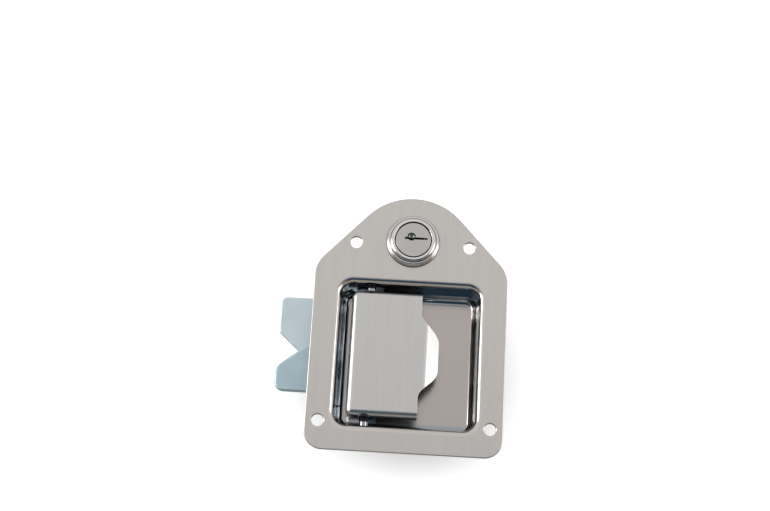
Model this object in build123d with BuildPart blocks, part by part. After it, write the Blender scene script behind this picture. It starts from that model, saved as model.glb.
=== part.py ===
"""Flush paddle latch with a keyed lock and two slam jaws.

Frame: +X to the right, +Z up, +Y into the door. Y = 0 is the back of the flange, where it
seats on the door skin, and the origin is the centre of the drawn dish.
"""
from build123d import *
from math import cos, radians, tan
import os

os.makedirs("parts", exist_ok=True)

# ---------------------------------------------------------------- driving dimensions (mm)
sheet = 1.2                # stainless sheet of the faceplate
running = 0.06             # radial running fit of pins and barrels
layer_gap = 0.3            # side play between stamped plates

# flange
flange_half_width = 43.0
flange_bottom = -43.8
dome_top = 71.9
dome_radius = 28.5
slope = 47.0               # fall of the shoulders from the dome
shoulder_radius = 13.0
bottom_corner = 8.0
edge_round = 0.4
screw_radius = 2.6
hole_roll = 0.45           # rim that the punch draws down
upper_screw_x, upper_screw_z = 25.4, 49.7
screw_inset_x, screw_inset_z = 5.7, 12.4   # of the lower holes, from the flange's edges

# drawn dish
dish_half_width = 31.0
dish_top, dish_bottom = 31.4, -32.6
dish_depth = 17.0          # front face to dish floor
dish_corner = 5.7
dish_draft = 4.7
floor_round = 2.6
lip_round = 2.6

# paddle
paddle_sheet = 1.5
paddle_front = 0.3         # depth of its face
paddle_left, paddle_right = -25.7, 5.5
paddle_half_height = 28.2
paddle_rim = 5.5           # depth of the turned-down rim
paddle_bend = 2.8          # outer radius
tab_reach = 13.8           # finger tab
tab_half_root, tab_half_tip = 19.0, 5.8
tab_bend_x = 8.0
tab_bend = 4.0             # inner radius of the bend
tab_fall = 35.0
pin_radius = 2.0
pin_x, pin_y = -17.5, 5.2
ear_lobe = 4.2
leg_left, leg_right = -24.5, -18.5
leg_end = 22.3
leg_slot_right = -12.0
pin_head_radius, push_nut_radius = 2.9, 3.1
return_wire, return_radius = 0.8, 2.65
return_turns, return_pitch = 4, 1.15

# lock
lock_z = 51.4
bezel_radius = 11.8
bezel_proud = 3.5
ring_radius, ring_height = 9.7, 1.2   # raised ring inside the bezel's skirt
lock_body_radius = 9.5
lock_body_end = 24.2
plug_face_radius = 7.95
plug_gap = 0.35            # dark ring round the plug
plug_radius = 6.6
plug_recess = 0.3
plug_step = 2.0            # thickness of the plug's face disc
keyway_left, keyway_right = -3.8, 6.4
keyway_height = 0.8
keyway_lift = 0.75         # of the slot above the plug's axis
shutter_drop = 2.3         # height of the shallow recess under the slot
shutter_depth = 0.6
dimple_x, dimple_lift = -0.85, 1.4
dimple_radius, dimple_rise = 2.0, 0.6
keyway_depth = 20.0
wafer = 1.0
wafer_count, wafer_pitch, wafer_first = 5, 3.0, 3.0
wafer_height = 5.0
nut_flats = 12.2           # half the width across the flats
nut_height = 4.5
washer_radius = 12.9
washer_sheet = 0.8
seat_depth = 0.1           # coined seat that takes the washer and nut
cam_sheet = 2.0
cam_reach = 26.0
cam_half_width = 6.0
square_tail = 7.0
cam_screw_radius, cam_screw_length = 1.6, 5.0
cam_screw_flats, cam_screw_head = 3.5, 2.4

# jaws
throat_z = 4.2
jaw_sheet = 2.5
jaw_tip = -58.9
jaw_roll = 0.9             # rounding of the tumbled rims
striker_x, striker_radius = -36.5, 5.5
nose_drop = 3.0
pivot_x, pivot_offset = -18.0, 8.0
bushing_radius = 4.0
rivet_radius = 2.5
spacer_radius = 6.0
finger_left, finger_right = -16.0, -11.0
tail_height = 4.4
plate_sheet = 1.5
post_x, post_offset, post_radius = -1.0, 14.0, 2.5
coil_x = -5.0
spring_wire = 0.9
spring_leg = 9.0
plate_right = 4.0
plate_half_height = 19.0
plate_corner = 5.0

# ---------------------------------------------------------------- derived positions
front = -sheet
floor_front = front + dish_depth
dish_height, dish_z = dish_top - dish_bottom, (dish_top + dish_bottom) / 2
floor_back = floor_front + sheet
lower_layer = floor_back + layer_gap
upper_layer = lower_layer + jaw_sheet + layer_gap
plate_front = upper_layer + jaw_sheet + layer_gap
plate_back = plate_front + plate_sheet
ridge_z = dome_top - dome_radius + dome_radius / cos(radians(slope))
shoulder_z = ridge_z - flange_half_width * tan(radians(slope))
ear_inner = paddle_half_height - paddle_sheet
lower_screw_x, lower_screw_z = flange_half_width - screw_inset_x, flange_bottom + screw_inset_z
nut_corner = nut_flats / cos(radians(30))
paddle_back = paddle_front + paddle_sheet
inward = (0, 1, 0)


def facing(y):
    """Sketch plane that faces the user at depth y: local x is X and local y is Z."""
    return Plane.XZ.offset(-y)


def finish(piece, name):
    """Label a piece and write it to its own file."""
    piece.part.label = name
    export_step(piece.part, f"parts/{name}.step")


# ---------------------------------------------------------------- faceplate with its drawn dish
with BuildPart() as faceplate:
    with BuildSketch(facing(front)) as flange:
        with BuildLine():
            Polyline(
                (-flange_half_width, flange_bottom), (flange_half_width, flange_bottom),
                (flange_half_width, shoulder_z), (0, ridge_z), (-flange_half_width, shoulder_z),
                close=True,
            )
        make_face()
        fillet(flange.vertices().group_by(Axis.Y)[-1], dome_radius)
        fillet(flange.vertices().group_by(Axis.Y)[1], shoulder_radius)
        fillet(flange.vertices().group_by(Axis.Y)[0], bottom_corner)
    extrude(amount=sheet, dir=inward)
    fillet(faceplate.faces().sort_by(Axis.Y)[0].edges(), edge_round)

    # outside of the drawn dish
    with BuildSketch(facing(front)):
        with Locations((0, dish_z)):
            RectangleRounded(2 * (dish_half_width + sheet), dish_height + 2 * sheet,
                             dish_corner + sheet)
    extrude(amount=-(dish_depth + sheet), taper=dish_draft)
    fillet(faceplate.faces().sort_by(Axis.Y)[-1].edges(), floor_round + sheet)
    seat = faceplate.faces().filter_by(lambda f: abs(f.center().Y) < 0.01)[0]
    fillet(seat.inner_wires()[0].edges(), lip_round - sheet)

    # hollow of the dish, its floor radius and its rolled lip
    with BuildSketch(facing(front)):
        with Locations((0, dish_z)):
            RectangleRounded(2 * dish_half_width, dish_height, dish_corner)
    extrude(amount=-dish_depth, taper=dish_draft, mode=Mode.SUBTRACT)
    inner_floor = faceplate.faces().filter_by(
        lambda f: abs(f.center().Y - floor_front) < 0.01 and abs(f.normal_at().Y) > 0.99)[0]
    fillet(inner_floor.edges(), floor_round)
    front_face = faceplate.faces().sort_by(Axis.Y)[0]
    fillet(front_face.inner_wires()[0].edges(), lip_round)

    # screw holes, lock hole, rivet holes, slots for the paddle's legs, pin holes
    with BuildSketch(facing(front)):
        with Locations(*[(s * upper_screw_x, upper_screw_z) for s in (-1, 1)],
                       *[(s * lower_screw_x, lower_screw_z) for s in (-1, 1)]):
            Circle(screw_radius)
        with Locations((0, lock_z)):
            Circle(lock_body_radius + 0.15)
    extrude(amount=sheet, dir=inward, mode=Mode.SUBTRACT)
    rims = faceplate.edges().filter_by(GeomType.CIRCLE).filter_by(
        lambda e: abs(e.radius - screw_radius) < 0.01 and e.center().Y < front + 0.01)
    fillet(rims, hole_roll)
    with BuildSketch(facing(-seat_depth)):
        with Locations((0, lock_z)):
            Circle(nut_corner + 0.3)
    extrude(amount=seat_depth, dir=inward, mode=Mode.SUBTRACT)
    with BuildSketch(facing(floor_front - 1)):
        with Locations(*[(pivot_x, throat_z + s * pivot_offset) for s in (-1, 1)]):
            Circle(rivet_radius)
        with Locations(*[(post_x, throat_z + s * post_offset) for s in (-1, 1)],
                       (coil_x, throat_z)):
            Circle(post_radius - 1)
        slot_centre = (leg_left - 0.9 + leg_slot_right) / 2
        with Locations(*[(slot_centre, s * (ear_inner + paddle_sheet / 2)) for s in (-1, 1)]):
            RectangleRounded(leg_slot_right - leg_left + 0.9, paddle_sheet + 1.0, 1.0)
    extrude(amount=2 * sheet + 2, dir=inward, mode=Mode.SUBTRACT)
    with Locations(Plane(origin=(pin_x, pin_y, 0))):
        Cylinder(pin_radius, dish_height + 12, mode=Mode.SUBTRACT)
finish(faceplate, "faceplate")

# ---------------------------------------------------------------- paddle
with BuildPart() as paddle:
    width = paddle_right - paddle_left
    middle = (paddle_left + paddle_right) / 2
    with BuildSketch(facing(paddle_front)):
        with Locations((middle, 0)):
            Rectangle(width, 2 * paddle_half_height)
    extrude(amount=paddle_rim, dir=inward)
    bent = paddle.edges().filter_by(
        lambda e: e.center().Y < paddle_front + 0.01 and e.center().X < paddle_right - 0.01)
    upright = paddle.edges().filter_by(Axis.Y).group_by(Axis.X)[0]
    fillet(bent + upright, paddle_bend)
    with BuildSketch(facing(paddle_back)):
        with Locations((middle + paddle_sheet, 0)):
            Rectangle(width, 2 * ear_inner)
    extrude(amount=paddle_rim, dir=inward, mode=Mode.SUBTRACT)
    inside = paddle.faces().filter_by(lambda f: abs(f.center().Y - paddle_back) < 0.01)[0]
    fillet(inside.edges().filter_by(lambda e: e.center().X < paddle_right - 0.01),
           paddle_bend - paddle_sheet)

    # finger tab: a bent strip trimmed to its S-curved outline
    with BuildSketch(Plane.XY.offset(-tab_half_root)) as section:
        run = tab_reach + 2 - tab_bend_x
        fall = tan(radians(tab_fall))
        under_x = tab_bend_x - paddle_sheet * tan(radians(tab_fall / 2))
        with BuildLine():
            Polyline((middle, paddle_front), (tab_bend_x, paddle_front),
                     (tab_bend_x + run, paddle_front + run * fall),
                     (under_x + run, paddle_back + run * fall),
                     (under_x, paddle_back), (middle, paddle_back), close=True)
        make_face()
        fillet(section.vertices().sort_by_distance((tab_bend_x, paddle_front))[0],
               tab_bend + paddle_sheet)
        fillet(section.vertices().sort_by_distance((under_x, paddle_back))[0], tab_bend)
    extrude(amount=2 * tab_half_root)
    with BuildSketch(facing(front)) as outside_tab:
        with BuildLine():
            upper = Spline((paddle_right, tab_half_root), (tab_reach, tab_half_tip),
                           tangents=[(0, -1), (0, -1)], tangent_scalars=[0.9, 1.1])
            tip = Line(upper @ 1, (tab_reach, -tab_half_tip))
            lower = Spline(tip @ 1, (paddle_right, -tab_half_root),
                           tangents=[(0, -1), (0, -1)], tangent_scalars=[1.1, 0.9])
            Polyline(lower @ 1, (paddle_right, -tab_half_root - 1), (tab_reach + 6, -tab_half_root - 1),
                     (tab_reach + 6, tab_half_root + 1), (paddle_right, tab_half_root + 1), upper @ 0)
        make_face()
    extrude(amount=dish_depth, dir=inward, mode=Mode.SUBTRACT)

    # lobes of the two ears, with the legs that reach through the dish floor
    for side in (-1, 1):
        with BuildSketch(Plane.XY.offset(side * paddle_half_height)):
            with Locations((pin_x, pin_y)):
                Circle(ear_lobe)
            with Locations(((leg_left + leg_right) / 2, (pin_y + leg_end) / 2)):
                Rectangle(leg_right - leg_left, leg_end - pin_y)
        extrude(amount=-side * paddle_sheet)
    leg_corners = paddle.edges().filter_by(Axis.Z).filter_by(lambda e: e.center().Y > leg_end - 0.01)
    fillet(leg_corners, 1.2)
    with Locations((pin_x, pin_y, 0)):
        Cylinder(pin_radius + running, 2 * paddle_half_height + 2, mode=Mode.SUBTRACT)
    # bend reliefs in the two corners of the rim
    with BuildSketch(facing(front)):
        with Locations(*[(paddle_left + 0.5, s * (paddle_half_height - 0.5)) for s in (-1, 1)]):
            Circle(1.1)
    extrude(amount=dish_depth, dir=inward, mode=Mode.SUBTRACT)
finish(paddle, "paddle")

# ---------------------------------------------------------------- paddle pin, its push nut and spring
pin_top, pin_foot = dish_top + sheet + 0.1, dish_bottom - sheet - 0.1
with BuildPart() as paddle_pin:
    with BuildSketch(Plane.XY.offset(pin_foot - 2.6)):
        with Locations((pin_x, pin_y)):
            Circle(pin_radius)
    extrude(amount=pin_top - pin_foot + 2.6)
    with BuildSketch(Plane.XY.offset(pin_top)):
        with Locations((pin_x, pin_y)):
            Circle(pin_head_radius)
    extrude(amount=1.2)
    fillet(paddle_pin.faces().sort_by(Axis.Z)[-1].edges(), 0.5)
    chamfer(paddle_pin.faces().sort_by(Axis.Z)[0].edges(), 0.5)
finish(paddle_pin, "paddle_pin")

with BuildPart() as pin_push_nut:
    with BuildSketch(Plane.XY.offset(pin_foot - 0.6)):
        with Locations((pin_x, pin_y)):
            Circle(push_nut_radius)
            Circle(pin_radius, mode=Mode.SUBTRACT)
    extrude(amount=0.6)
    with BuildSketch(Plane.XY.offset(pin_foot - 1.4)):
        with Locations((pin_x, pin_y)):
            Circle(pin_radius + 0.6)
            Circle(pin_radius, mode=Mode.SUBTRACT)
    extrude(amount=0.8)
finish(pin_push_nut, "pin_push_nut")

return_half = return_turns * return_pitch / 2
return_z = 9.2 - ear_inner # middle of the winding, clear of the rivet heads
coil = Location((pin_x, pin_y, return_z - return_half), (0, 0, 180)) * Helix(
    return_pitch, 2 * return_half, return_radius)
with BuildPart() as paddle_spring:
    with BuildSketch(Plane(origin=coil @ 0, z_dir=coil % 0)):
        Circle(return_wire / 2)
    sweep(path=coil, is_frenet=True)
    # one leg stands on the dish floor, the other lies under the paddle
    legs = ((coil @ 0, (coil % 0) * -1, floor_front - 0.1 - (coil @ 0).Y),
            (coil @ 1, coil % 1, (coil @ 1).Y - paddle_back - 0.1))
    for root, direction, reach in legs:
        with BuildSketch(Plane(origin=root, z_dir=direction)):
            Circle(return_wire / 2)
        extrude(amount=reach)
finish(paddle_spring, "paddle_spring")

# ---------------------------------------------------------------- lock
lock_axis = Axis((0, 0, lock_z), inward)
bezel_face = front - bezel_proud
plug_face = bezel_face + plug_recess
with BuildPart() as lock_housing:
    with BuildSketch(Plane.XY.offset(lock_z)) as bezel:
        step_y, skirt_y = plug_face + plug_step, bezel_face + ring_height
        with BuildLine():
            Polyline((plug_face_radius + plug_gap, step_y), (plug_face_radius + plug_gap, bezel_face),
                     (ring_radius, bezel_face), (ring_radius + 0.8, skirt_y),
                     (bezel_radius - 0.6, skirt_y + 0.3), (bezel_radius, front - 0.9),
                     (bezel_radius, front), (lock_body_radius, front),
                     (lock_body_radius, lock_body_end), (plug_radius + running, lock_body_end),
                     (plug_radius + running, step_y), close=True)
        make_face()
        fillet(bezel.vertices().sort_by_distance((ring_radius, bezel_face))[0], 1.2)
        fillet(bezel.vertices().sort_by_distance((bezel_radius - 0.6, skirt_y + 0.3))[0], 0.8)
        fillet(bezel.vertices().sort_by_distance((plug_face_radius + plug_gap, bezel_face))[0], 0.25)
    revolve(axis=lock_axis)
    chamfer(lock_housing.edges().group_by(Axis.Y)[-1].sort_by(SortBy.RADIUS)[-1], 0.6)
finish(lock_housing, "lock_housing")

wafer_places = [wafer_first + i * wafer_pitch for i in range(wafer_count)]
with BuildPart() as lock_plug:
    with BuildSketch(facing(plug_face)):
        with Locations((0, lock_z)):
            Circle(plug_face_radius)
    extrude(amount=plug_step - 0.02, dir=inward)
    fillet(lock_plug.faces().sort_by(Axis.Y)[0].edges(), 0.3)
    with BuildSketch(facing(plug_face)):
        with Locations((0, lock_z)):
            Circle(plug_radius)
    extrude(amount=lock_body_end + 0.2 - plug_face, dir=inward)
    with BuildSketch(facing(lock_body_end + 0.2)):
        with Locations((0, lock_z)):
            Rectangle(square_tail, square_tail)
    extrude(amount=cam_sheet + 0.1, dir=inward)
    # keyway over a shallow shutter recess, and the dimple that leads the key in
    key_z = lock_z + keyway_lift
    with BuildSketch(facing(plug_face)):
        with Locations(((keyway_left + keyway_right) / 2, key_z)):
            Rectangle(keyway_right - keyway_left, keyway_height)
    extrude(amount=plug_step + 1.0, dir=inward, mode=Mode.SUBTRACT)
    with BuildSketch(facing(plug_face)):
        with Locations(((keyway_left + keyway_right) / 2, key_z + (keyway_height - shutter_drop) / 2)):
            Rectangle(keyway_right - keyway_left, shutter_drop)
    extrude(amount=shutter_depth, dir=inward, mode=Mode.SUBTRACT)
    with Locations((dimple_x, plug_face - dimple_rise, lock_z + dimple_lift)):
        Sphere(dimple_radius, mode=Mode.SUBTRACT)
    with BuildSketch(facing(plug_face)):
        with Locations((0.4, key_z)):
            Rectangle(8.6, keyway_height)
    extrude(amount=keyway_depth, dir=inward, mode=Mode.SUBTRACT)
    with BuildSketch(Plane.XY.offset(lock_z - wafer_height / 2 - 0.1)):
        with Locations(*[(0, y) for y in wafer_places]):
            Rectangle(2 * plug_radius + 1, wafer + 0.2)
    extrude(amount=wafer_height + 0.2, mode=Mode.SUBTRACT)
    with BuildSketch(facing(lock_body_end - 6)):
        with Locations((0, lock_z)):
            Circle(cam_screw_radius)
    extrude(amount=12, dir=inward, mode=Mode.SUBTRACT)
finish(lock_plug, "lock_plug")

with BuildPart() as lock_wafers:
    for y in wafer_places:
        with BuildSketch(facing(y - wafer / 2)):
            with Locations((0, lock_z)):
                Circle(plug_radius - 0.1)
                Rectangle(2 * plug_radius, wafer_height, mode=Mode.INTERSECT)
            with Locations((0.4, lock_z + keyway_lift)):
                Rectangle(8.8, keyway_height + 0.2, mode=Mode.SUBTRACT)
        extrude(amount=wafer, dir=inward)
finish(lock_wafers, "lock_wafers")

with BuildPart() as lock_washer:
    with BuildSketch(facing(-seat_depth)):
        with Locations((0, lock_z)):
            Circle(washer_radius)
            Circle(lock_body_radius + 0.05, mode=Mode.SUBTRACT)
            with Locations(*[Rot(0, 0, a) * Pos(washer_radius, 0) for a in range(0, 360, 30)]):
                Circle(0.8, mode=Mode.SUBTRACT)
    extrude(amount=washer_sheet, dir=inward)
finish(lock_washer, "lock_washer")

with BuildPart() as lock_nut:
    with BuildSketch(facing(washer_sheet - seat_depth)):
        with Locations((0, lock_z)):
            RegularPolygon(nut_flats, 6, major_radius=False)
            Circle(lock_body_radius + 0.05, mode=Mode.SUBTRACT)
    extrude(amount=nut_height, dir=inward)
    outer = lock_nut.faces().sort_by(Axis.Y)[-1].outer_wire().edges()
    chamfer(outer, 0.6)
finish(lock_nut, "lock_nut")

cam_front = lock_body_end + 0.35
with BuildPart() as lock_cam:
    with BuildSketch(facing(cam_front)) as cam_outline:
        with Locations((0, lock_z)):
            Circle(cam_half_width + 2.0)
        with Locations((0, lock_z - cam_reach / 2 + 1)):
            Rectangle(2 * cam_half_width, cam_reach - 2)
        with Locations((0, lock_z - cam_reach + 4)):
            RectangleRounded(2 * cam_half_width, 8, 2.5)
        with Locations((0, lock_z)):
            Rectangle(square_tail + 0.1, square_tail + 0.1, mode=Mode.SUBTRACT)
    extrude(amount=cam_sheet, dir=inward)
finish(lock_cam, "lock_cam")

cam_back = cam_front + cam_sheet
with BuildPart() as cam_washer:
    with BuildSketch(facing(cam_back)):
        with Locations((0, lock_z)):
            Circle(square_tail - 0.8)
            Circle(cam_screw_radius + 0.1, mode=Mode.SUBTRACT)
    extrude(amount=washer_sheet, dir=inward)
finish(cam_washer, "cam_washer")

with BuildPart() as cam_screw:
    with BuildSketch(facing(lock_body_end - cam_screw_length)):
        with Locations((0, lock_z)):
            Circle(cam_screw_radius)
    extrude(amount=cam_back + washer_sheet - (lock_body_end - cam_screw_length), dir=inward)
    with BuildSketch(facing(cam_back + washer_sheet)):
        with Locations((0, lock_z)):
            RegularPolygon(cam_screw_flats, 6, major_radius=False)
    extrude(amount=cam_screw_head, dir=inward)
    chamfer(cam_screw.faces().sort_by(Axis.Y)[-1].edges(), 0.4)
finish(cam_screw, "cam_screw")


# ---------------------------------------------------------------- jaws
def make_jaw(name, side, layer, ramp_start, ramp_angle, height, ramp_corner, tip_corner, leg_height):
    """One slam jaw; heights are measured from the throat line towards its own side."""
    ramp_run = (ramp_start + nose_drop) / tan(radians(ramp_angle))
    ledge = min(height, leg_height - 1.4)
    finger_top = leg_height + paddle_sheet + 1.6

    def at(x, height):
        return (x, throat_z + side * height)

    with BuildPart() as jaw:
        with BuildSketch(facing(layer)) as outline:
            with BuildLine():
                Polyline(
                    at(striker_x, -nose_drop), at(jaw_tip + ramp_run, -nose_drop),
                    at(jaw_tip, ramp_start), at(jaw_tip, height), at(leg_left - 5, height),
                    at(leg_left - 3, ledge), at(finger_left, ledge), at(finger_left, finger_top),
                    at(finger_right, finger_top), at(finger_right, tail_height),
                    at(striker_x, tail_height), close=True,
                )
            make_face()
            for point, radius in ((at(jaw_tip, ramp_start), ramp_corner),
                                  (at(jaw_tip, height), tip_corner),
                                  (at(finger_left, finger_top), 1.2),
                                  (at(finger_right, finger_top), 2.5),
                                  (at(finger_right, tail_height), 2.0)):
                fillet(outline.vertices().sort_by_distance(point)[0], radius)
            with Locations(at(striker_x, 0)):
                Circle(striker_radius, mode=Mode.SUBTRACT)
            with Locations(at(pivot_x, pivot_offset)):
                Circle(bushing_radius + running, mode=Mode.SUBTRACT)
        extrude(amount=jaw_sheet, dir=inward)
        near_side, far_side = jaw.faces().filter_by(Axis.Y)
        nose_rims = (near_side.outer_wire().edges() + far_side.outer_wire().edges()).filter_by(
            lambda e: e.center().X < striker_x - striker_radius)
        fillet(nose_rims, jaw_roll)
    finish(jaw, name)
    return jaw


upper_jaw = make_jaw("upper_jaw", 1, upper_layer, ramp_start=7.5, ramp_angle=41.0, height=24.1,
                     ramp_corner=3.2, tip_corner=3.2, leg_height=ear_inner - throat_z)
lower_jaw = make_jaw("lower_jaw", -1, lower_layer, ramp_start=9.2, ramp_angle=37.6, height=20.3,
                     ramp_corner=6.0, tip_corner=4.2, leg_height=ear_inner + throat_z)

# ---------------------------------------------------------------- pivots and retaining plate
pivots = [(pivot_x, throat_z + s * pivot_offset) for s in (-1, 1)]
posts = [(post_x, throat_z + s * post_offset) for s in (-1, 1)]

with BuildPart() as back_plate:
    with BuildSketch(facing(plate_front)) as plate_outline:
        plate_left = striker_x - 4.5
        with Locations(((plate_left + plate_right) / 2, throat_z)):
            RectangleRounded(plate_right - plate_left, 2 * plate_half_height, plate_corner)
        with Locations((striker_x, throat_z)):
            Circle(striker_radius + 1.2, mode=Mode.SUBTRACT)
        with Locations((striker_x - 5, throat_z)):
            Rectangle(10, 2 * striker_radius + 2.4, mode=Mode.SUBTRACT)
        with Locations(*pivots):
            Circle(rivet_radius, mode=Mode.SUBTRACT)
        with Locations(*posts, (coil_x, throat_z)):
            Circle(post_radius - 1, mode=Mode.SUBTRACT)
    extrude(amount=plate_sheet, dir=inward)
finish(back_plate, "back_plate")


def make_rivets(name, places, shank, head, head_height, shoulder=0.0):
    """Rivets that clamp the dish floor to the retaining plate, with a domed head at each end."""
    with BuildPart() as rivets:
        with BuildSketch(facing(floor_front)):
            with Locations(*places):
                Circle(shank)
        extrude(amount=plate_back - floor_front, dir=inward)
        if shoulder:
            with BuildSketch(facing(floor_back)):
                with Locations(*places):
                    Circle(shoulder)
            extrude(amount=plate_front - floor_back, dir=inward)
        for y, outward in ((floor_front, (0, -1, 0)), (plate_back, inward)):
            with BuildSketch(facing(y)):
                with Locations(*places):
                    Circle(head)
            extrude(amount=head_height, dir=outward)
        heads = rivets.faces().sort_by(Axis.Y)
        for crown in heads[:len(places)] + heads[-len(places):]:
            fillet(crown.edges(), 0.6 * head_height)
    finish(rivets, name)


make_rivets("pivot_rivets", pivots, rivet_radius, rivet_radius + 2.0, 1.4)
make_rivets("plate_rivets", posts, post_radius - 1, post_radius + 0.3, 1.1, shoulder=post_radius + 0.4)
make_rivets("spring_post", [(coil_x, throat_z)], post_radius - 1, post_radius + 0.3, 1.1,
            shoulder=post_radius)

with BuildPart() as pivot_bushings:
    with BuildSketch(facing(floor_back)):
        with Locations(*pivots):
            Circle(bushing_radius)
            Circle(rivet_radius, mode=Mode.SUBTRACT)
    extrude(amount=plate_front - floor_back, dir=inward)
finish(pivot_bushings, "pivot_bushings")

with BuildPart() as spacer_rings:
    for (x, z), start_y in zip(pivots, (lower_layer + jaw_sheet + layer_gap / 2, floor_back)):
        length = plate_front - start_y if start_y > floor_back else upper_layer - layer_gap / 2 - start_y
        with BuildSketch(facing(start_y)):
            with Locations((x, z)):
                Circle(spacer_radius)
                Circle(bushing_radius, mode=Mode.SUBTRACT)
        extrude(amount=length, dir=inward)
finish(spacer_rings, "spacer_rings")

# ---------------------------------------------------------------- jaw spring: a coil whose legs part the two tails
coil_radius = tail_height - spring_wire / 2 - 0.1
coil_rise = upper_layer - lower_layer
coil_base = Plane(origin=(coil_x, lower_layer + jaw_sheet / 2, throat_z), x_dir=(0, 0, -1), z_dir=inward)
coil_path = coil_base.location * Helix(coil_rise / 2.5, coil_rise, coil_radius)
with BuildPart() as jaw_spring:
    with BuildSketch(Plane(origin=coil_path @ 0, z_dir=coil_path % 0)):
        Circle(spring_wire / 2)
    sweep(path=coil_path, is_frenet=True)
    for corner in (coil_path @ 0, coil_path @ 1):
        with BuildSketch(Plane(origin=corner, z_dir=(-1, 0, 0))):
            Circle(spring_wire / 2)
        extrude(amount=spring_leg)
finish(jaw_spring, "jaw_spring")
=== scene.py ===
# %% [markdown]
# # A flush paddle latch
# A latch like this slams shut on a striker and opens when the paddle in its dish is pulled.
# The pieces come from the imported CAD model, in metres, with +Y pointing into the door.
# Their forms are finished there, so this lesson only gives each of them its metal, and then sets
# the board, the light and the camera. The flange faces the viewer, in front of a pale board.

# %% Load the fixed frame
import math

import bmesh
import bpy
from mathutils import Matrix, Vector


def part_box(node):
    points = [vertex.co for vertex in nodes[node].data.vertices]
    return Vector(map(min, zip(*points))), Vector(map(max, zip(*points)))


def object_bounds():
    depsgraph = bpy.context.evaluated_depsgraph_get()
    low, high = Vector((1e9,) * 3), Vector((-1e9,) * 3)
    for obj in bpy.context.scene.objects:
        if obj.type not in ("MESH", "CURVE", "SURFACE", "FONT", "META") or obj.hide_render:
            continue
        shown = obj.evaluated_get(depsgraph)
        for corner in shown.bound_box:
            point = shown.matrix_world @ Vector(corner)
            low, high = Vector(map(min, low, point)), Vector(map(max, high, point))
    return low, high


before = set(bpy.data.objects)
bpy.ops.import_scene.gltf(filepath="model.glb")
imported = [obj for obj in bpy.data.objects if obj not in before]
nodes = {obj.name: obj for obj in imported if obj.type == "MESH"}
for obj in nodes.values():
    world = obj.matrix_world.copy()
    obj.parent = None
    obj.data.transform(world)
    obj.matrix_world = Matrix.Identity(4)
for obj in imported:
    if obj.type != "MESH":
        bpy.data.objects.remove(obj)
cad_low, cad_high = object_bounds()
MM = 0.001
print("nodes", len(nodes))
print("size mm", [round((high - low) / MM, 1) for low, high in zip(cad_low, cad_high)])

# %% [markdown]
# ## Small helpers for shader trees
# A material is a tree of nodes. Writing `tree.nodes.new` and `tree.links.new` for each of them
# hides what the finish is made of, so short helpers do it. `put` adds a node and sets its values,
# `join` links two sockets, and `maths` and `remap` stand for the two nodes that are used most.


# %% Nodes and numbers
def put(tree, kind, settings=None, **values):
    """Add a node; settings are its properties and values are its unlinked inputs."""
    made = tree.nodes.new("ShaderNode" + kind)
    for name, value in (settings or {}).items():
        setattr(made, name, value)
    for name, value in values.items():
        made.inputs[name.replace("_", " ")].default_value = value
    return made


def join(tree, source, target):
    """Link an output socket to an input socket."""
    tree.links.new(source, target)


def maths(tree, operation, first, second=None, clamp=False):
    """One arithmetic step; each operand is a socket or a number."""
    step = put(tree, "Math", {"operation": operation, "use_clamp": clamp})
    for socket, operand in zip(step.inputs, (first, second)):
        if operand is None:
            continue
        if isinstance(operand, (int, float)):
            socket.default_value = operand
        else:
            join(tree, operand, socket)
    return step.outputs[0]


def remap(tree, value, low, high, to_low, to_high):
    """Stretch a value from one range to another, clamped."""
    step = put(tree, "MapRange", From_Min=low, From_Max=high, To_Min=to_low, To_Max=to_high)
    join(tree, value, step.inputs["Value"])
    return step.outputs["Result"]


def spread(tree, noise, low, high, reach=0.2):
    """Stretch a noise, which mostly stays within `reach` of one half, from low to high."""
    return remap(tree, noise, 0.5 - reach, 0.5 + reach, low, high)


print("number helpers ready")

# %% [markdown]
# ## Mixing by a mask
# Real metal is never one tone: it is two close ones, mixed by a mask such as wear, dirt or depth.
# A mask is a value from 0 to 1 that changes over the surface, and each mix below takes one.


# %% Mixes
def blend_colour(tree, mask, dark, light):
    """Mix two colours (sockets or tuples) by a mask socket."""
    mix = put(tree, "Mix", {"data_type": "RGBA"})
    join(tree, mask, mix.inputs[0])
    for socket, colour in ((mix.inputs[6], dark), (mix.inputs[7], light)):
        if isinstance(colour, tuple):
            socket.default_value = (*colour, 1)
        else:
            join(tree, colour, socket)
    return mix.outputs[2]


def choose(tree, mask, low, high):
    """Blend two value sockets by a mask."""
    mix = put(tree, "Mix", {"data_type": "FLOAT"})
    for socket, source in zip((mix.inputs[0], mix.inputs[2], mix.inputs[3]), (mask, low, high)):
        join(tree, source, socket)
    return mix.outputs[0]


def brighter(colour, factor):
    """The same tone, lighter, kept below full white."""
    return tuple(min(1.0, channel * factor) for channel in colour)


print("mixes ready")

# %% [markdown]
# ## Groups
# An effect that several metals share is built once, as a node group with named inputs and outputs.
# Each metal then places the group with its own values, so a change to the group reaches them all.


# %% Group helpers
def new_group(name, inputs, outputs):
    """A shader node group with named float inputs and named outputs."""
    tree = bpy.data.node_groups.new(name, "ShaderNodeTree")
    for label, default in inputs.items():
        socket = tree.interface.new_socket(label, in_out="INPUT", socket_type="NodeSocketFloat")
        socket.default_value = default
    for label in outputs:
        tree.interface.new_socket(label, in_out="OUTPUT", socket_type="NodeSocketFloat")
    return tree, tree.nodes.new("NodeGroupInput"), tree.nodes.new("NodeGroupOutput")


def use_group(tree, group, **values):
    """Place a group in a material, with its own values."""
    made = tree.nodes.new("ShaderNodeGroup")
    made.node_tree = group
    for name, value in values.items():
        made.inputs[name.replace("_", " ")].default_value = value
    return made


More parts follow.
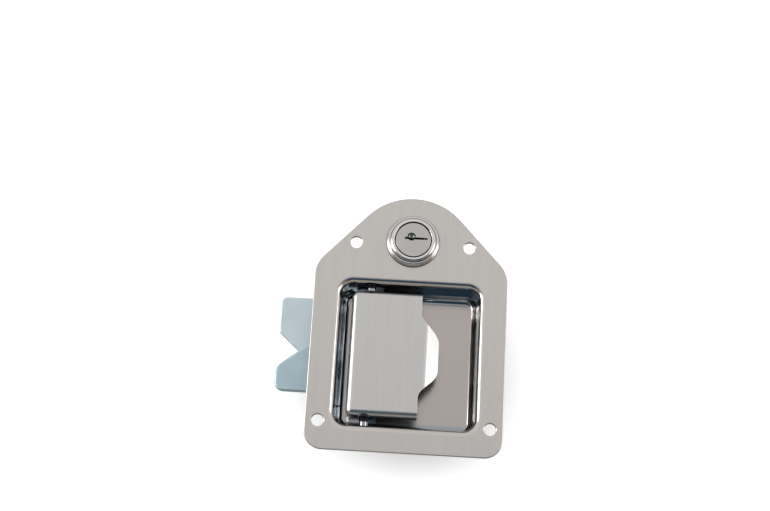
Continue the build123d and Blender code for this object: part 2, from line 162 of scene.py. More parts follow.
def stretched_noise(tree, scales, detail):
    """Noise on the object's own coordinates, scaled by one socket for each axis."""
    where = put(tree, "TexCoord")
    stretch = put(tree, "CombineXYZ")
    for socket, scale in zip(stretch.inputs, scales):
        join(tree, scale, socket)
    laid = put(tree, "VectorMath", {"operation": "MULTIPLY"})
    join(tree, where.outputs["Object"], laid.inputs[0])
    join(tree, stretch.outputs[0], laid.inputs[1])
    noise = put(tree, "TexNoise", Scale=1.0, Detail=detail, Roughness=0.6)
    join(tree, laid.outputs[0], noise.inputs["Vector"])
    return noise.outputs["Fac"]


print("group helpers ready")

# %% [markdown]
# ## Brushed grain
# Stainless sheet leaves the mill with a fine directional polish. It could be an image of scratches,
# but stretched noise does it at any size: fine across the grain and long along it.
# The object's own coordinates hold the grain still on each piece, whatever way it moves.
# A second, wider noise gives the soft bands that lie under the scratches.

# %% Brushed grain group
brushed_grain, grain_in, grain_out = new_group(
    "brushed_grain", {"Across": 2600.0, "Along": 60.0, "Soft Across": 500.0}, ["Grain", "Soft"])
long = grain_in.outputs["Along"]
for width, label, detail in (("Across", "Grain", 4.0), ("Soft Across", "Soft", 2.0)):
    fine = grain_in.outputs[width]
    streaks = stretched_noise(brushed_grain, (fine, fine, long), detail)
    join(brushed_grain, streaks, grain_out.inputs[label])
print(brushed_grain.name, [socket.name for socket in brushed_grain.interface.items_tree])

# %% [markdown]
# ## Worn edges and painted sheen
# Handling polishes the outer edges of a stamped plate. The metals below paint those edges a lighter
# colour, which is a painted highlight. The Bevel node gives the normal that a rounded edge would
# have; where it turns away from the true normal, there is an edge.

# %% Edge wear and sheen group
edge_wear_and_sheen, edge_in, edge_out = new_group("edge_wear_and_sheen", {"Width": 0.0006, "Sharpness": 6.0}, ["Edge"])
rounded = put(edge_wear_and_sheen, "Bevel", {"samples": 6})
join(edge_wear_and_sheen, edge_in.outputs["Width"], rounded.inputs["Radius"])
true_normal = put(edge_wear_and_sheen, "NewGeometry")
turn = put(edge_wear_and_sheen, "VectorMath", {"operation": "DOT_PRODUCT"})
join(edge_wear_and_sheen, rounded.outputs[0], turn.inputs[0])
join(edge_wear_and_sheen, true_normal.outputs["Normal"], turn.inputs[1])
away = maths(edge_wear_and_sheen, "SUBTRACT", 1.0, turn.outputs["Value"])
# The edge mask, which the metals use to paint a lighter edge: a painted highlight.
edge_wear_and_sheen_mask = maths(edge_wear_and_sheen, "MULTIPLY", away, edge_in.outputs["Sharpness"], clamp=True)
join(edge_wear_and_sheen, edge_wear_and_sheen_mask, edge_out.inputs["Edge"])
print(edge_wear_and_sheen.name, "made")

# %% [markdown]
# ## Handling marks
# Nothing that has been packed and handled is even: soft blotches change how sharply it shines,
# and a few tiny specks of dust and dents catch the light. The blotches are noise. The specks are
# the middles of Voronoi cells, kept only in the few cells whose random colour is high enough.

# %% Handling marks group
speck_size = 0.06
speck_rarity = 0.93
handling, hand_in, hand_out = new_group(
    "handling_marks", {"Blotch Scale": 45.0, "Speck Scale": 420.0}, ["Blotch", "Speck"])
where = put(handling, "TexCoord")
blotch = put(handling, "TexNoise", Detail=5.0, Roughness=0.55)
join(handling, where.outputs["Object"], blotch.inputs["Vector"])
join(handling, hand_in.outputs["Blotch Scale"], blotch.inputs["Scale"])
join(handling, blotch.outputs["Fac"], hand_out.inputs["Blotch"])
speck = put(handling, "TexVoronoi", {"feature": "F1"})
join(handling, where.outputs["Object"], speck.inputs["Vector"])
join(handling, hand_in.outputs["Speck Scale"], speck.inputs["Scale"])
tiny = maths(handling, "LESS_THAN", speck.outputs["Distance"], speck_size)
cell = put(handling, "SeparateColor")
join(handling, speck.outputs["Color"], cell.inputs[0])
rare = maths(handling, "GREATER_THAN", cell.outputs[0], speck_rarity)
join(handling, maths(handling, "MULTIPLY", tiny, rare), hand_out.inputs["Speck"])
print(handling.name, "made")

# %% [markdown]
# ## Draw marks
# Deep drawing leaves fine lines round the walls of a dish, all at one depth each. Noise that
# changes fast with depth and slowly along the wall gives them.

# %% Draw marks group
draw_streaks, streak_in, streak_out = new_group(
    "draw_streaks", {"Across": 900.0, "Along": 18.0}, ["Streak"])
along = streak_in.outputs["Along"]
lines = stretched_noise(draw_streaks, (along, streak_in.outputs["Across"], along), 5.0)
join(draw_streaks, lines, streak_out.inputs["Streak"])
print(draw_streaks.name, "made")

# %% [markdown]
# ## How squarely a surface faces the front
# A press leaves flat sheet dull and bent sheet bright. The normal tells the two apart: its part
# along Y is 1 on the flat flange, 0 on an upright wall, and in between on every bend.

# %% Front facing group
front_facing, _, front_out = new_group("front_facing", {}, ["Front"])
surface = put(front_facing, "NewGeometry")
turned = put(front_facing, "SeparateXYZ")
join(front_facing, surface.outputs["Normal"], turned.inputs[0])
join(front_facing, maths(front_facing, "ABSOLUTE", turned.outputs["Y"]), front_out.inputs["Front"])
print(front_facing.name, "made")

# %% [markdown]
# ## A metal to start from
# Every metal here is one Principled BSDF: its colour, roughness and bump come from the groups above.
# The functions below set up what all metals share, and leave the colour to each finish.


# %% Metal starter
def start_metal(name, metallic=1.0):
    """A material with a Principled BSDF and its output; returns material, tree and shader."""
    material = bpy.data.materials.new(name)
    material.use_nodes = True
    tree = material.node_tree
    tree.nodes.clear()
    shader = put(tree, "BsdfPrincipled", Metallic=metallic)
    output = put(tree, "OutputMaterial")
    join(tree, shader.outputs[0], output.inputs["Surface"])
    return material, tree, shader


def raise_surface(tree, shader, height, strength, depth):
    """Bump the surface by a height map that is `depth` metres deep."""
    bump = put(tree, "Bump", Strength=strength, Distance=depth)
    join(tree, height, bump.inputs["Height"])
    join(tree, bump.outputs[0], shader.inputs["Normal"])


def dress(material, *names):
    """Give CAD nodes their finished material."""
    for name in names:
        slots = nodes[name].data.materials
        slots.clear()
        slots.append(material)
    print(material.name, "on", ", ".join(names))


# %% [markdown]
# ## Where a point lies on a piece
# Some finishes belong to one place: the painted highlight bands of a pin, the painted shade in the
# gap round a lock plug.
# Painting them on would need an unwrapped image. Measuring from an axis or a level needs only the
# object's coordinates, which are millimetre for millimetre those of the CAD piece.


# %% Places on a piece
def place_on(tree, centre=(0, 0, 0)):
    """X, Y and Z of a point of the piece, in metres, measured from `centre`."""
    where = put(tree, "TexCoord")
    offset = put(tree, "VectorMath", {"operation": "SUBTRACT"})
    join(tree, where.outputs["Object"], offset.inputs[0])
    offset.inputs[1].default_value = tuple(centre)
    apart = put(tree, "SeparateXYZ")
    join(tree, offset.outputs[0], apart.inputs[0])
    return apart.outputs["X"], apart.outputs["Y"], apart.outputs["Z"]


def distance(tree, first, second):
    """Distance from an axis, from the two coordinates across it."""
    squares = maths(tree, "ADD", maths(tree, "MULTIPLY", first, first),
                    maths(tree, "MULTIPLY", second, second))
    return maths(tree, "SQRT", squares)


def near_value(tree, value, target, reach, soft):
    """1 where value is within reach of the target, fading out over a soft margin."""
    gap = maths(tree, "ABSOLUTE", maths(tree, "SUBTRACT", value, target))
    return remap(tree, gap, reach, reach + soft, 1.0, 0.0)


lock_centre = sum(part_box("lock_plug"), Vector()) / 2
lock_axis = Vector((lock_centre.x, 0, lock_centre.z))
bezel_low, bezel_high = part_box("lock_housing")
bezel_radius = (bezel_high.x - bezel_low.x) / 2
print("lock axis mm", [round(v / MM, 2) for v in lock_axis], "bezel", round(bezel_radius / MM, 2))

# %% [markdown]
# ## Stainless sheet of the faceplate
# The flat flange is satin, with a very faint upright grain. Where the sheet was drawn into the dish
# it slid over the die, which burnished it: lips and corners are glossy. The walls carry streaks that
# run round them, and their dark bluish tone is a painted reflection. The floor was squeezed flat and
# lies between the two, and its darker tone is painted shade.
# The zones come from the surface itself: how squarely it faces the front, and how deep it lies.

# %% Faceplate zones
floor_left, floor_bottom, floor_top = -28.2 * MM, -29.6 * MM, 28.6 * MM
stainless, tree, shader = start_metal("satin_stainless")
grain = use_group(tree, brushed_grain)
marks = use_group(tree, handling)
edges = use_group(tree, edge_wear_and_sheen, Width=0.0005)
draw = use_group(tree, draw_streaks)
front = use_group(tree, front_facing).outputs["Front"]
across, depth, up = place_on(tree)
wall = remap(tree, front, 0.12, 0.34, 1.0, 0.0)
bent = remap(tree, front, 0.90, 0.985, 1.0, 0.0)
deep = remap(tree, depth, 2 * MM, 6 * MM, 0.0, 1.0)
inside_left = maths(tree, "SUBTRACT", across, floor_left)
inside_foot = maths(tree, "SUBTRACT", up, floor_bottom)
inside_top = maths(tree, "SUBTRACT", floor_top, up)
margin = maths(tree, "MINIMUM", inside_left, maths(tree, "MINIMUM", inside_foot, inside_top))
corner = maths(tree, "MULTIPLY", remap(tree, margin, 0.7 * MM, 2.0 * MM, 0.62, 0.0), deep)
across_lock, _, up_lock = place_on(tree, lock_axis)
painted_seam_shade = remap(tree, distance(tree, across_lock, up_lock),
             bezel_radius + 0.1 * MM, bezel_radius + 0.5 * MM, 0.65, 0.0)
print("floor mm", [round(edge / MM, 1) for edge in (floor_left, floor_bottom, floor_top)])

# %% [markdown]
# The tones are close to each other, because one sheet makes them all. The corner round the floor and
# the seam under the lock's bezel are painted darker: painted shade, where light hardly reaches.

# %% Faceplate colours
satin_tone = blend_colour(tree, spread(tree, grain.outputs["Soft"], 0.0, 1.0),
                          (0.580, 0.552, 0.526), (0.604, 0.574, 0.548))
# The floor's darker tone is painted shade for its depth in the dish; its blotches are handling marks.
shaded_floor_tone = blend_colour(tree, spread(tree, marks.outputs["Blotch"], 0.0, 1.0),
                          (0.445, 0.405, 0.382), (0.462, 0.424, 0.402))
# The walls' dark bluish tone is a painted reflection; its streaks are draw marks.
wall_tone_with_painted_reflection = blend_colour(tree, remap(tree, draw.outputs["Streak"], 0.38, 0.66, 0.0, 1.0),
                          (0.38, 0.48, 0.57), (0.80, 0.81, 0.81))
metal = blend_colour(tree, deep, satin_tone, shaded_floor_tone)
# Painted shade in the corner round the floor.
metal = blend_colour(tree, corner, metal, (0.26, 0.31, 0.35))
metal = blend_colour(tree, wall, metal, wall_tone_with_painted_reflection)
# Painted shade in the seam round the bezel.
metal = blend_colour(tree, painted_seam_shade, metal, (0.08, 0.08, 0.08))
# Painted highlight: the edges get a lighter colour.
metal = blend_colour(tree, edges.outputs["Edge"], metal, (0.72, 0.71, 0.69))
metal = blend_colour(tree, marks.outputs["Speck"], metal, (0.85, 0.84, 0.82))
join(tree, metal, shader.inputs["Base Color"])
print("faceplate tones set")

# %% [markdown]
# Roughness says how the press treated each zone: satin flange, smoother floor, burnished bends.
# The bump is only some hundredths of a millimetre: the grain everywhere, and the draw marks on
# the walls, where they are deeper than the grain.

# %% Faceplate gloss and relief
satin = spread(tree, grain.outputs["Grain"], 0.31, 0.37)
smoothed = spread(tree, marks.outputs["Blotch"], 0.19, 0.24, reach=0.15)
burnished = spread(tree, marks.outputs["Blotch"], 0.09, 0.17, reach=0.15)
gloss = choose(tree, bent, choose(tree, deep, satin, smoothed), burnished)
join(tree, gloss, shader.inputs["Roughness"])
draw_lines = maths(tree, "MULTIPLY", draw.outputs["Streak"], wall)
relief = maths(tree, "ADD", maths(tree, "MULTIPLY", grain.outputs["Grain"], 0.10),
               maths(tree, "MULTIPLY", draw_lines, 2.0))
raise_surface(tree, shader, relief, 0.6, 0.00002)
dress(stainless, "faceplate")

# %% [markdown]
# ## Stainless of the paddle
# The paddle is a separate stamping from a finer sheet, so its grain is tighter and its face lighter.
# Its two ears carry the pin, and a ring on them round the pin is painted dark, a painted shade. The
# ears are the ends of the same sheet, so the distance from the pin's axis and the height pick them
# out together.

# %% Paddle zones and colour
pin_low, pin_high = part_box("paddle_pin")
paddle_low, paddle_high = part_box("paddle")
half_height = (paddle_high.z - paddle_low.z) / 2
pin_axis = (pin_low + pin_high) / 2
pin_axis.z = (paddle_low.z + paddle_high.z) / 2
paddle_metal, tree, shader = start_metal("paddle_stainless")
grain = use_group(tree, brushed_grain, Across=3400.0, Along=40.0, Soft_Across=700.0)
marks = use_group(tree, handling, Blotch_Scale=30.0)
edges = use_group(tree, edge_wear_and_sheen, Width=0.0008)
face = blend_colour(tree, spread(tree, grain.outputs["Soft"], 0.0, 1.0),
                    (0.575, 0.560, 0.545), (0.60, 0.585, 0.57))
# Painted highlight: the edges get a lighter colour.
face = blend_colour(tree, edges.outputs["Edge"], face, (0.76, 0.75, 0.73))
across, depth, up = place_on(tree, pin_axis)
ring = near_value(tree, distance(tree, across, depth), 3.2 * MM, reach=1.2 * MM, soft=0.05 * MM)
ends = near_value(tree, maths(tree, "ABSOLUTE", up), half_height, reach=1.3 * MM, soft=0.2 * MM)
# Painted shade on the ears, in a ring round the pin.
painted_ear_shade = maths(tree, "MULTIPLY", ring, ends)
join(tree, blend_colour(tree, painted_ear_shade, face, (0.03, 0.03, 0.035)), shader.inputs["Base Color"])
print("pin axis mm", [round(v / MM, 2) for v in pin_axis], "half height", round(half_height / MM, 1))

# %% [markdown]
# The face keeps the sheet's satin, and the rolled rims are smoother, as on the faceplate.

# %% Paddle gloss and relief
front = use_group(tree, front_facing).outputs["Front"]
bent = remap(tree, front, 0.80, 0.97, 1.0, 0.0)
gloss = choose(tree, bent, spread(tree, grain.outputs["Grain"], 0.28, 0.34),
               spread(tree, marks.outputs["Blotch"], 0.19, 0.25, reach=0.15))
join(tree, gloss, shader.inputs["Roughness"])
raise_surface(tree, shader, grain.outputs["Grain"], 0.12, 0.00001)
dress(paddle_metal, "paddle")

# %% [markdown]
# ## Turned pins, rivets and springs
# Small steel parts are turned or drawn: smooth, a little darker, with light handling marks, and edges
# painted lighter as a painted highlight. One function makes them all, from two tones and a range of
# gloss.


# %% Small steel parts
def plain_steel(name, dark, light, smooth, rough):
    """Bright small steel: two tones, uneven gloss and polished edges painted lighter, a painted
    highlight.
    """
    material, tree, shader = start_metal(name)
    marks = use_group(tree, handling, Blotch_Scale=160.0)
    edges = use_group(tree, edge_wear_and_sheen, Width=0.0003)
    colour = blend_colour(tree, spread(tree, marks.outputs["Blotch"], 0.0, 1.0), dark, light)
    # Painted highlight: the edges are a lighter tone.
    colour = blend_colour(tree, edges.outputs["Edge"], colour, brighter(light, 1.2))
    join(tree, colour, shader.inputs["Base Color"])
    join(tree, spread(tree, marks.outputs["Blotch"], smooth, rough), shader.inputs["Roughness"])
    raise_surface(tree, shader, marks.outputs["Blotch"], 0.15, 0.00003)
    return material


turned_steel = plain_steel("turned_steel", dark=(0.46, 0.45, 0.44), light=(0.60, 0.59, 0.57),
                           smooth=0.16, rough=0.30)
spring_wire = plain_steel("spring_wire", dark=(0.24, 0.24, 0.25), light=(0.38, 0.38, 0.39),
                          smooth=0.22, rough=0.40)
dress(turned_steel, "pivot_rivets", "pivot_bushings", "plate_rivets", "spring_post")
dress(spring_wire, "paddle_spring", "jaw_spring")

# %% [markdown]
# ## The pin that the paddle turns on
# The pin is black oxide on steel, which is nearly matt. Just past the paddle's top and bottom, two
# bands of it are painted lighter and polished: painted highlights where the pin catches the lamps.

# %% Paddle pin
pin_metal, tree, shader = start_metal("black_oxide")
marks = use_group(tree, handling, Blotch_Scale=260.0)
_, _, up = place_on(tree)
upper_band = near_value(tree, up, paddle_high.z + 1.1 * MM, reach=0.5 * MM, soft=0.3 * MM)
lower_band = near_value(tree, up, paddle_low.z - 2.9 * MM, reach=0.7 * MM, soft=0.4 * MM)
patchy = remap(tree, marks.outputs["Blotch"], 0.2, 0.5, 0.6, 1.0)
# Painted highlight: the two bands get a lighter colour.
painted_glint_bands = maths(tree, "MULTIPLY", maths(tree, "MAXIMUM", upper_band, lower_band), patchy)
join(tree, blend_colour(tree, painted_glint_bands, (0.018, 0.020, 0.024), (0.30, 0.30, 0.31)),
     shader.inputs["Base Color"])
oxide = spread(tree, marks.outputs["Blotch"], 0.46, 0.60)
polished = spread(tree, marks.outputs["Blotch"], 0.10, 0.16)
join(tree, choose(tree, painted_glint_bands, oxide, polished), shader.inputs["Roughness"])
raise_surface(tree, shader, marks.outputs["Blotch"], 0.10, 0.00002)
dress(pin_metal, "paddle_pin", "pin_push_nut")

# %% [markdown]
# ## Zinc plate on the jaws and the lock's hardware
# Zinc with a blue passivation is duller and cooler than stainless, with a soft cloudy mottle.
# Stamped edges are rounded, and their colour is painted brighter, a painted highlight. It is slightly
# less than fully metallic, since the passivation is a thin chalky salt. The upper jaw, the lower jaw
# and the rest of the hardware each have a tone of their own, and the lower jaw's darker tone is
# painted shade.


# %% Zinc plate
def zinc_plate(name, dark, light, edge):
    """Blue passivated zinc: cloudy, fine grained, part mirror and part chalk."""
    material, tree, shader = start_metal(name, metallic=0.82)
    cloud = use_group(tree, handling, Blotch_Scale=70.0)
    fine = use_group(tree, handling, Blotch_Scale=900.0)
    edges = use_group(tree, edge_wear_and_sheen, Width=0.0006)
    mottle = blend_colour(tree, spread(tree, cloud.outputs["Blotch"], 0.0, 1.0), dark, light)
    # Painted highlight: the edges get a brighter colour.
    mottle = blend_colour(tree, edges.outputs["Edge"], mottle, edge)
    join(tree, mottle, shader.inputs["Base Color"])
    join(tree, spread(tree, fine.outputs["Blotch"], 0.36, 0.50), shader.inputs["Roughness"])
    raise_surface(tree, shader, fine.outputs["Blotch"], 0.3, 0.00003)
    return material


pale_zinc = zinc_plate("blue_zinc_pale", dark=(0.60, 0.70, 0.745), light=(0.665, 0.77, 0.815),
                       edge=(0.86, 0.92, 0.94))
# The lower jaw's darker copy of the jaw zinc is painted shade.
painted_shade_zinc = zinc_plate("blue_zinc_painted_shade", dark=(0.465, 0.59, 0.64), light=(0.525, 0.655, 0.71),
                       edge=(0.70, 0.80, 0.84))
plain_zinc = zinc_plate("blue_zinc_plain", dark=(0.50, 0.58, 0.61), light=(0.58, 0.66, 0.69),
                        edge=(0.78, 0.84, 0.87))
dress(pale_zinc, "upper_jaw")
dress(painted_shade_zinc, "lower_jaw")
dress(plain_zinc, "back_plate", "spacer_rings")
dress(plain_zinc, "lock_cam", "cam_washer", "cam_screw", "lock_nut", "lock_washer")

# %% [markdown]
# ## The lock's plating
# Bezel and plug are zinc castings with chrome over them. Chrome is a clean mirror, so it needs little
# more than its tone: two close tones, uneven gloss, and edges painted brighter as a painted
# highlight.


# %% Chrome starter
def lock_chrome(name, shade, light, smooth, rough):
    """Chrome plate; returns material, tree, shader and the tone, which isn't joined yet."""
    material, tree, shader = start_metal(name)
    marks = use_group(tree, handling, Blotch_Scale=160.0)
    edges = use_group(tree, edge_wear_and_sheen, Width=0.0003)
    tone = blend_colour(tree, spread(tree, marks.outputs["Blotch"], 0.0, 1.0), shade, light)
    # Painted highlight: the edges get a brighter colour.
    tone = blend_colour(tree, edges.outputs["Edge"], tone, brighter(light, 1.1))
    join(tree, spread(tree, marks.outputs["Blotch"], smooth, rough), shader.inputs["Roughness"])
    return material, tree, shader, tone


plug_low, plug_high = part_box("lock_plug")
plug_radius = (plug_high.x - plug_low.x) / 2
flange_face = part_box("faceplate")[0].y
print("plug radius mm", round(plug_radius / MM, 2), "flange face at", round(flange_face / MM, 2))

# %% [markdown]
# ## Bezel
# The bezel is polished, so it mirrors the room. Three rings on it are painted dark, as painted shade:
# the gap round the plug, a groove, and the foot where it meets the flange.
# Rings round an axis need no painting, because the distance from the axis finds each of them.

# %% Bezel rings
chrome, tree, shader, tone = lock_chrome(
    "polished_chrome", shade=(0.66, 0.645, 0.64), light=(0.72, 0.70, 0.695), smooth=0.07, rough=0.13)
across, depth, up = place_on(tree, lock_centre)
_, level, _ = place_on(tree)
radius = distance(tree, across, up)
bore_radius = plug_radius + 0.35 * MM
groove_radius = bezel_radius - 1.5 * MM
gap = remap(tree, radius, bore_radius, bore_radius + 0.12 * MM, 1.0, 0.0)
foot = remap(tree, level, flange_face - 0.7 * MM, flange_face - 0.2 * MM, 0.0, 0.75)
groove = near_value(tree, radius, groove_radius, reach=0.12 * MM, soft=0.35 * MM)
in_front = remap(tree, level, 0.0, 0.5 * MM, 1.0, 0.0)
# Painted shade in the gap, the groove and the foot.
painted_crevice_shade = maths(tree, "MAXIMUM", maths(tree, "MAXIMUM", gap, foot),
                maths(tree, "MULTIPLY", groove, 0.5))
painted_crevice_shade = maths(tree, "MULTIPLY", painted_crevice_shade, in_front)
join(tree, blend_colour(tree, painted_crevice_shade, tone, (0.04, 0.05, 0.055)), shader.inputs["Base Color"])
print("bore mm", round(bore_radius / MM, 2), "groove mm", round(groove_radius / MM, 2))

# %% [markdown]
# Behind the flange the same casting is the threaded barrel. Its thread is a helix: depth in
# pitches plus the turn about the axis, of which only the fraction counts. A modelled thread would
# cost thousands of faces on a part that is rarely seen, so a bump does it. The CAD bezel steps
# down from a raised ring to its skirt and has no groove, so the same bump sinks that too.

# %% Thread and groove
pitch = 1.0 * MM
thread_root = 9.0 * MM
turns = maths(tree, "DIVIDE", maths(tree, "ARCTAN2", across, up), 2 * math.pi)
helix = maths(tree, "FRACT", maths(tree, "ADD", maths(tree, "DIVIDE", depth, pitch), turns))
ridge = maths(tree, "ABSOLUTE", maths(tree, "SUBTRACT", helix, 0.5))
behind = remap(tree, level, 1.5 * MM, 2.0 * MM, 0.0, 1.0)
barrel = maths(tree, "GREATER_THAN", radius, thread_root)
thread = maths(tree, "MULTIPLY", ridge, maths(tree, "MULTIPLY", behind, barrel))
turned_in = maths(tree, "MULTIPLY", maths(tree, "MULTIPLY", groove, in_front), 0.35)
raise_surface(tree, shader, maths(tree, "SUBTRACT", thread, turned_in), 1.0, 0.0005)
dress(chrome, "lock_housing")

# %% [markdown]
# ## Plug and wafers
# The plug's face was lapped flat before plating and stays satin. A round dimple, just above and left
# of the middle, leads the key in. It is a hollow in the CAD piece, and the material paints it dark,
# darkest towards its foot, as photographed: painted shade. The plug's wafers are stamped brass.

# %% Plug and wafers
dimple_centre = lock_centre + Vector((-0.85, 0, 1.4)) * MM
dimple_radius = 1.50 * MM
satin_plug, tree, shader, tone = lock_chrome(
    "satin_chrome", shade=(0.475, 0.458, 0.440), light=(0.530, 0.512, 0.495), smooth=0.22, rough=0.32)
dimple_x, _, dimple_z = place_on(tree, dimple_centre)
dimple = remap(tree, distance(tree, dimple_x, dimple_z),
               dimple_radius, dimple_radius + 0.35 * MM, 1.0, 0.0)
# Painted shade inside the dimple, darker towards its foot.
painted_dimple_shade = blend_colour(tree, remap(tree, dimple_z, -0.5 * MM, 0.4 * MM, 0.0, 1.0),
                      (0.02, 0.03, 0.03), (0.22, 0.25, 0.23))
tone = blend_colour(tree, dimple, tone, painted_dimple_shade)
across, _, up = place_on(tree, lock_centre)
# Painted shade: the plug's edge is painted dark where the gap round it lies in shade.
painted_rim_shade = remap(tree, distance(tree, across, up),
            plug_radius - 0.17 * MM, plug_radius - 0.03 * MM, 0.0, 0.9)
join(tree, blend_colour(tree, painted_rim_shade, tone, (0.07, 0.08, 0.09)), shader.inputs["Base Color"])
marks = use_group(tree, handling, Blotch_Scale=160.0)
raise_surface(tree, shader, marks.outputs["Blotch"], 0.2, 0.00003)
dress(satin_plug, "lock_plug")
brass = plain_steel("stamped_brass", dark=(0.55, 0.42, 0.20), light=(0.72, 0.57, 0.30),
                    smooth=0.25, rough=0.40)
dress(brass, "lock_wafers")

# %% [markdown]
# ## The board
# A plain pale board stands just behind the latch and takes its soft shadow. It glows a little, so
# that it fades to white away from the latch. The glow is weakest right behind the latch, which is a
# painted shadow there.

# %% Board
board_gap = 2 * MM
board_reach = 3.0
board_y = cad_high.y + board_gap
board_corners = [(-board_reach, -board_reach), (board_reach, -board_reach),
                 (board_reach, board_reach), (-board_reach, board_reach)]
sheet = bmesh.new()
sheet.faces.new([sheet.verts.new((x, board_y, z)) for x, z in board_corners])
board_mesh = bpy.data.meshes.new("board")
sheet.to_mesh(board_mesh)
sheet.free()
board = bpy.data.objects.new("board", board_mesh)
bpy.context.scene.collection.objects.link(board)
print("board at", round(board_y / MM, 1), "mm")

# %% [markdown]
# The board shows only to the camera and only from its front. So it throws no light of its own on
# the metal, and the latch can also be looked at from behind.

# %% Board material
paper = bpy.data.materials.new("pale_board")
paper.use_nodes = True
tree = paper.node_tree
tree.nodes.clear()
white = put(tree, "BsdfDiffuse", Color=(0.93, 0.93, 0.93, 1))
glow_with_painted_shadow = put(tree, "Emission", Color=(1, 1, 1, 1))
across, _, up = place_on(tree)
# The glow fades near the latch: a painted shadow behind it.
join(tree, remap(tree, distance(tree, across, up), 0.025, 0.065, 0.05, 0.62), glow_with_painted_shadow.inputs["Strength"])
lit = put(tree, "AddShader")
join(tree, white.outputs[0], lit.inputs[0])
join(tree, glow_with_painted_shadow.outputs[0], lit.inputs[1])
clear = put(tree, "BsdfTransparent")
ray = put(tree, "LightPath")
side = put(tree, "NewGeometry")
seen = maths(tree, "MULTIPLY", ray.outputs["Is Camera Ray"],
             maths(tree, "SUBTRACT", 1.0, side.outputs["Backfacing"]))
show = put(tree, "MixShader")
join(tree, seen, show.inputs[0])
join(tree, clear.outputs[0], show.inputs[1])
join(tree, lit.outputs[0], show.inputs[2])
board_out = put(tree, "OutputMaterial")
join(tree, show.outputs[0], board_out.inputs["Surface"])
board_mesh.materials.append(paper)
print(paper.name, "on the board")

# %% [markdown]
# ## The room that the metal mirrors
# Bright metal shows little of its own: it mirrors the room, so the room is chosen for what it puts
# on the latch. Tones by height give it a pale ceiling and a greyer floor. An image of a real room
# would do too, but a ramp needs no file, and each of its tones can be set by itself.

# %% Room tones
room_tones = ((-0.95, (0.44, 0.41, 0.35)),
              (-0.40, (0.32, 0.30, 0.27)),
              (-0.14, (0.30, 0.29, 0.28)),
              (0.02, (0.80, 0.80, 0.80)),
              (0.30, (0.86, 0.86, 0.86)),
              (0.95, (0.74, 0.74, 0.74)))
world = bpy.data.worlds.new("studio")
bpy.context.scene.world = world
world.use_nodes = True
tree = world.node_tree
tree.nodes.clear()
direction = put(tree, "TexCoord")
heading = put(tree, "SeparateXYZ")
join(tree, direction.outputs["Generated"], heading.inputs[0])
heights = put(tree, "ValToRGB")
join(tree, remap(tree, heading.outputs["Z"], -1.0, 1.0, 0.0, 1.0), heights.inputs[0])
stops = heights.color_ramp.elements
for height, colour in room_tones:
    stop = stops.new((height + 1) / 2)
    stop.color = (*colour, 1)
stops.remove(stops[0])
stops.remove(stops[len(stops) - 1])
print("room tones", len(stops))

# %% [markdown]
# One dark panel stands low and straight ahead, between the lamps. The camera looks slightly up at
# the latch, so the rolled lip above the dish mirrors this panel as a dark line. Seen by the
# camera itself, the world is plain white, for a clean ground.

# %% Dark panel and white ground
ahead = remap(tree, maths(tree, "ABSOLUTE", heading.outputs["X"]), 0.32, 0.55, 1.0, 0.0)
above_foot = remap(tree, heading.outputs["Z"], -0.86, -0.76, 0.0, 1.0)
below_top = remap(tree, heading.outputs["Z"], -0.14, 0.0, 1.0, 0.0)
viewer_side = maths(tree, "LESS_THAN", heading.outputs["Y"], 0.1)
panel = maths(tree, "MULTIPLY", maths(tree, "MULTIPLY", above_foot, below_top),
              maths(tree, "MULTIPLY", ahead, viewer_side))
room = put(tree, "Background", Strength=1.05)
join(tree, blend_colour(tree, panel, heights.outputs[0], (0.035, 0.075, 0.12)),
     room.inputs["Color"])
ground = put(tree, "Background", Color=(1, 1, 1, 1), Strength=1.0)
ray = put(tree, "LightPath")
pick = put(tree, "MixShader")
join(tree, ray.outputs["Is Camera Ray"], pick.inputs[0])
join(tree, room.outputs[0], pick.inputs[1])
join(tree, ground.outputs[0], pick.inputs[2])
world_out = put(tree, "OutputWorld")
join(tree, pick.outputs[0], world_out.inputs["Surface"])
print("world", world.name, "made")

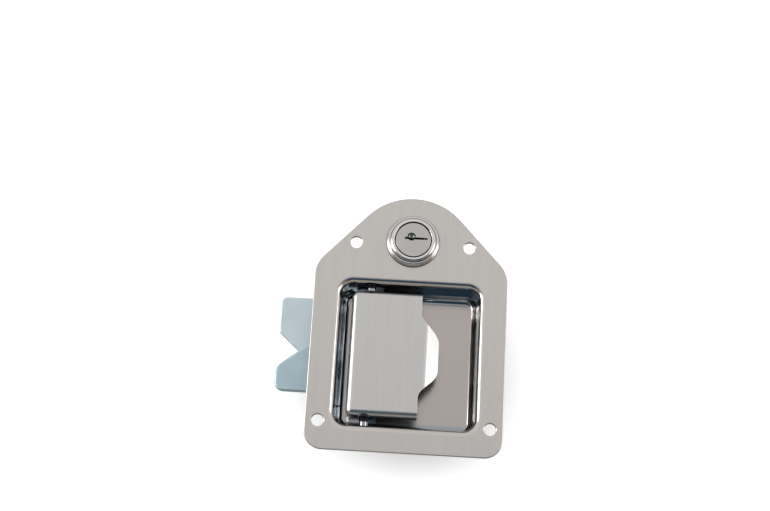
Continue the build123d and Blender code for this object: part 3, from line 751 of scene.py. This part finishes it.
# %% [markdown]
# ## Lamps
# Two tall soft lamps stand wide to the left and the right. The flat faces don't mirror them, but
# the rolled lips of the dish, the rims of the paddle and its finger tab do, as bright lines.
# A wider lamp gives a wider line. A lamp that stands further round gives a line that lies
# further round the bend, and the paddle's tab hides the left lamp from the middle of the floor.

# %% Soft lamps
lamp_distance = 0.9


def soft_lamp(name, azimuth, height, width, tall, power):
    """An area lamp that faces the latch; azimuth is in degrees, from the front to the right."""
    angle = math.radians(azimuth)
    target = Vector((0, 0, height))
    place = target + Vector((math.sin(angle), -math.cos(angle), 0)) * lamp_distance
    data = bpy.data.lights.new(name, "AREA")
    data.shape = "RECTANGLE"
    data.size = width
    data.size_y = tall
    data.energy = power
    lamp = bpy.data.objects.new(name, data)
    lamp.location = place
    lamp.rotation_euler = (target - place).to_track_quat("-Z", "Z").to_euler()
    bpy.context.scene.collection.objects.link(lamp)
    print(name, "at", [round(v, 3) for v in place])


soft_lamp("lamp_left", azimuth=-60.5, height=0.02, width=0.44, tall=0.55, power=3.7)
soft_lamp("lamp_right", azimuth=62.0, height=-0.035, width=0.50, tall=0.47, power=2.0)

# %% [markdown]
# ## Camera
# The camera stands a little over half a metre in front of the latch and lower than it, looks
# slightly up, and is tilted by about three degrees. Its long lens keeps the plate's sides nearly
# parallel. The Standard view keeps tones as they are, so white stays white.

# %% Camera
camera_place = Vector((-7.63, -558.8, -123.2)) * MM
camera_target = Vector((-12.3, 0.0, 44.6)) * MM
camera_roll = math.radians(3.36)
camera_data = bpy.data.cameras.new("camera")
camera_data.sensor_width = 36.0
camera_data.lens = 60.779
camera_data.clip_start = 0.01
camera_data.clip_end = 20.0
camera = bpy.data.objects.new("camera", camera_data)
bpy.context.scene.collection.objects.link(camera)
aim = (camera_target - camera_place).to_track_quat("-Z", "Y").to_matrix().to_4x4()
camera.matrix_world = Matrix.Translation(camera_place) @ aim @ Matrix.Rotation(camera_roll, 4, "Z")
bpy.context.scene.camera = camera
bpy.context.scene.view_settings.view_transform = "Standard"
print("camera at", [round(v / MM) for v in camera_place], "mm")
